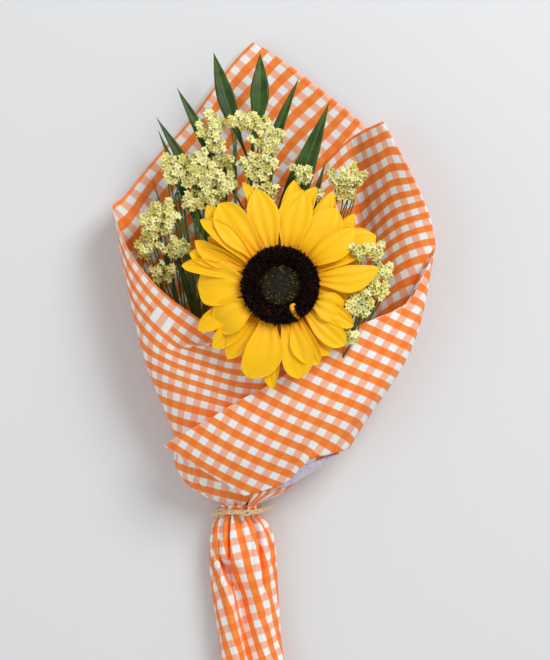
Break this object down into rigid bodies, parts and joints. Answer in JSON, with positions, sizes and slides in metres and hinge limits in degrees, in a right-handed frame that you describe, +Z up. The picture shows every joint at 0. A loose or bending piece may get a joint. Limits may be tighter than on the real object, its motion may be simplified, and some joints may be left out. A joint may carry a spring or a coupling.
{
  "type": "wrapped sunflower bouquet",
  "caption": "Hand-tied cut sunflower bouquet with statice sprays and a palm frond, in a gathered gingham paper wrap tied with twine, lying on its back.",
  "frame": {"origin": "bottom centre of the bouquet's bounding box, on the surface it lies on", "axes": "+Y along the stems from the cut tail to the tip of the wrap, +Z up, out of the bloom's face, +X to the right of a viewer who looks down at the bloom"},
  "size_m": [0.24, 0.51, 0.1073],
  "materials": {
    "gingham_paper": "printed orange and white check, satin",
    "twine": "twisted raffia, matt",
    "flower_stem": "green, finely hairy",
    "spray_stem": "green, matt",
    "statice_mass": "pale yellow florets",
    "disc_mass": "dark brown florets, matt",
    "ray_mass": "bright yellow petals, satin",
    "bract_mass": "green, matt",
    "frond_blade": "dark green, waxy",
    "seal": "plain pale lilac paper, satin"
  },
  "bodies": {
    "root": {"wrap_back_right": "gingham_paper", "wrap_back_left": "gingham_paper", "wrap_left_side": "gingham_paper", "wrap_left_front": "gingham_paper", "wrap_right_back": "gingham_paper", "wrap_right_wall": "gingham_paper", "wrap_right_side": "gingham_paper", "wrap_front_flap": "gingham_paper", "wrap_tail": "gingham_paper", "tie_turn_1": "twine", "tie_turn_2": "twine", "tie_knot": "twine", "tie_end_left": "twine", "tie_end_right": "twine", "sunflower_stem": "flower_stem", "sunflower_disc": "disc_mass", "sunflower_rays": "ray_mass", "sunflower_bracts": "bract_mass", "palm_frond": "frond_blade", "statice_stem_left_low": "spray_stem", "statice_left_low": "statice_mass", "statice_stem_left_mid": "spray_stem", "statice_left_mid": "statice_mass", "statice_stem_left_top": "spray_stem", "statice_left_top": "statice_mass", "statice_stem_top": "spray_stem", "statice_top": "statice_mass", "statice_stem_centre": "spray_stem", "statice_centre": "statice_mass", "statice_stem_right_top": "spray_stem", "statice_right_top": "statice_mass", "statice_stem_right_low": "spray_stem", "statice_right_low": "statice_mass", "seal": "seal"}
  },
  "joints": []
}
